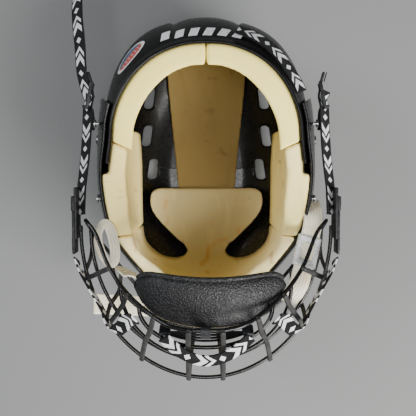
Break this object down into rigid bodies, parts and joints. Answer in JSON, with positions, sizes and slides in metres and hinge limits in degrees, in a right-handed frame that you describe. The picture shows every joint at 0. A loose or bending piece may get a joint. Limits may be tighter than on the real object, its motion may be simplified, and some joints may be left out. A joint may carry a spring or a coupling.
{
  "type": "ice hockey helmet with face cage",
  "caption": "Two-piece hockey helmet with foam liner, hinged full wire face cage, tilting padded chin cup and webbing straps, lying upturned on its crown.",
  "frame": {"origin": "middle of the flat of the crown, on the surface that the upturned helmet rests on", "axes": "+Z out of the head opening, +Y to the back of the head, -Y to the face, +X to the right as seen from above with the face cage at the bottom"},
  "size_m": [0.2549, 0.3793, 0.2639],
  "materials": {
    "front_shell_plastic": "satin black moulded plastic, lightly scratched",
    "rear_shell_plastic": "satin black moulded plastic",
    "liner_foam": "smooth aged foam with stains",
    "band_foam": "smooth cream foam",
    "crown_foam": "smooth tan foam",
    "wire_paint": "gloss black dip coating",
    "upright_paint": "worn matt black dip coating",
    "black_plastic": "matt black moulded plastic",
    "webbing": "black woven webbing with a white woven pattern",
    "cup_leather": "pebbled black leather",
    "elastic": "ribbed cream elastic",
    "clear_plastic": "milky clear plastic",
    "dark_steel": "blackened steel",
    "bright_steel": "plated steel"
  },
  "bodies": {
    "front_shell": {"front_shell": "front_shell_plastic", "front_liner": "liner_foam", "side_pad_left": "liner_foam", "side_pad_right": "liner_foam", "hinge_clip_left": "black_plastic", "hinge_clip_right": "black_plastic", "clip_screws": "bright_steel", "size_screws": "dark_steel", "size_nuts": "bright_steel", "buckle_left": "black_plastic", "buckle_right": "black_plastic", "buckle_rivets": "bright_steel", "buckle_loops": "webbing", "side_strap_left": "webbing", "side_strap_right": "webbing", "strap_tail_left": "webbing", "ear_strap_left": "elastic", "ear_strap_right": "elastic", "ear_tail_left": "elastic", "ear_tail_right": "elastic", "ear_rivets": "bright_steel"},
    "rear_shell": {"rear_shell": "rear_shell_plastic", "rear_band_left": "band_foam", "rear_band_right": "band_foam", "rear_crown_pad": "crown_foam", "strap_tail_right": "webbing"},
    "cage": {"edge_wire": "wire_paint", "cross_wire_1": "wire_paint", "cross_wire_2": "wire_paint", "cross_wire_3": "wire_paint", "cross_wire_4": "wire_paint", "cross_wire_5": "wire_paint", "upright_1": "upright_paint", "upright_2": "upright_paint", "upright_3": "upright_paint", "upright_4": "upright_paint", "upright_5": "upright_paint", "upright_6": "upright_paint", "upright_7": "upright_paint", "upright_8": "upright_paint", "side_clip_left": "black_plastic", "side_clip_right": "black_plastic", "cage_strap_left": "webbing", "cage_strap_right": "webbing"},
    "chin_cup": {"chin_cup_base": "black_plastic", "chin_cup_pad": "cup_leather", "chin_clip": "black_plastic", "chin_tabs": "black_plastic", "chin_strap": "webbing"},
    "ear_slider": {"ear_slider": "clear_plastic"}
  },
  "joints": [
    {"name": "cage_swing", "type": "hinge", "parent": "front_shell", "child": "cage", "pos_m": [0, -0.147, 0.103], "axis": [1, 0, 0], "range_deg": [0, 85]},
    {"name": "size_adjust", "type": "slide", "parent": "front_shell", "child": "rear_shell", "axis": [0, 1, 0], "range_m": [0, 0.006]},
    {"name": "chin_cup_tilt", "type": "hinge", "parent": "cage", "child": "chin_cup", "pos_m": [0, -0.1215, 0.26], "axis": [1, 0, 0], "range_deg": [-8, 0]},
    {"name": "ear_slide", "type": "slide", "parent": "front_shell", "child": "ear_slider", "axis": [-0.2547, -0.9262, 0.2779], "range_m": [-0.008, 0.008]}
  ]
}
